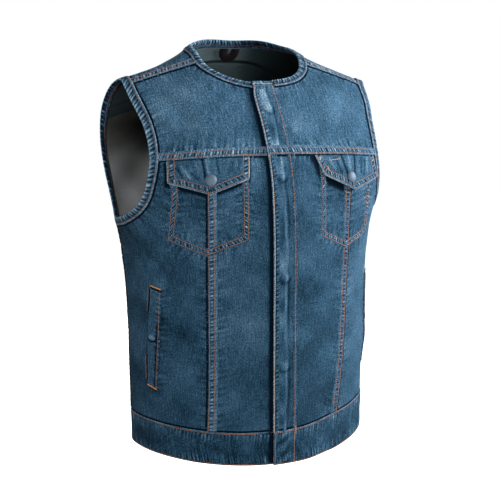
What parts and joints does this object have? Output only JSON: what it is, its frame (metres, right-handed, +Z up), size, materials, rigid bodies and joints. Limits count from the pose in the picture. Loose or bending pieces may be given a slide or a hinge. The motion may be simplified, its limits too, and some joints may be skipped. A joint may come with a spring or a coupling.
{
  "type": "denim vest",
  "caption": "Sleeveless collarless denim vest with a hidden snap placket, flapped chest pockets, welt pockets and a waistband, standing as if worn.",
  "frame": {"origin": "middle of the shoulder line, where the wearer's shoulders carry the vest", "axes": "+Z up, +X to the wearer's left, -Y out of the front"},
  "size_m": [0.4784, 0.2564, 0.6672],
  "materials": {
    "denim": "washed mid-blue twill",
    "denim_trim": "washed mid-blue twill, puckered at its stitching",
    "lining": "grey heather",
    "upper_lining": "plain dark grey-green",
    "snap_metal": "blue-grey domed caps",
    "hanger": "black strap"
  },
  "bodies": {
    "root": {"front_yoke_right": "denim", "front_yoke_left": "denim", "front_centre_right": "denim", "front_centre_left": "denim", "front_side_right": "denim", "front_side_left": "denim", "back_yoke": "denim", "back_centre": "denim", "back_side_right": "denim", "back_side_left": "denim", "waistband": "denim_trim", "neck_binding": "denim_trim", "armhole_binding_left": "denim_trim", "armhole_binding_right": "denim_trim", "pocket_flap_right": "denim_trim", "pocket_flap_left": "denim_trim", "pocket_welt_right": "denim_trim", "pocket_welt_left": "denim_trim", "lining_front_right": "lining", "lining_front_left": "lining", "lining_back_lower": "lining", "lining_back_upper": "upper_lining", "flap_snap_right": "snap_metal", "flap_snap_left": "snap_metal", "placket_snap_1": "snap_metal", "placket_snap_2": "snap_metal", "placket_snap_3": "snap_metal", "placket_snap_4": "snap_metal", "waistband_snap": "snap_metal", "hanger_loop": "hanger"}
  },
  "joints": []
}
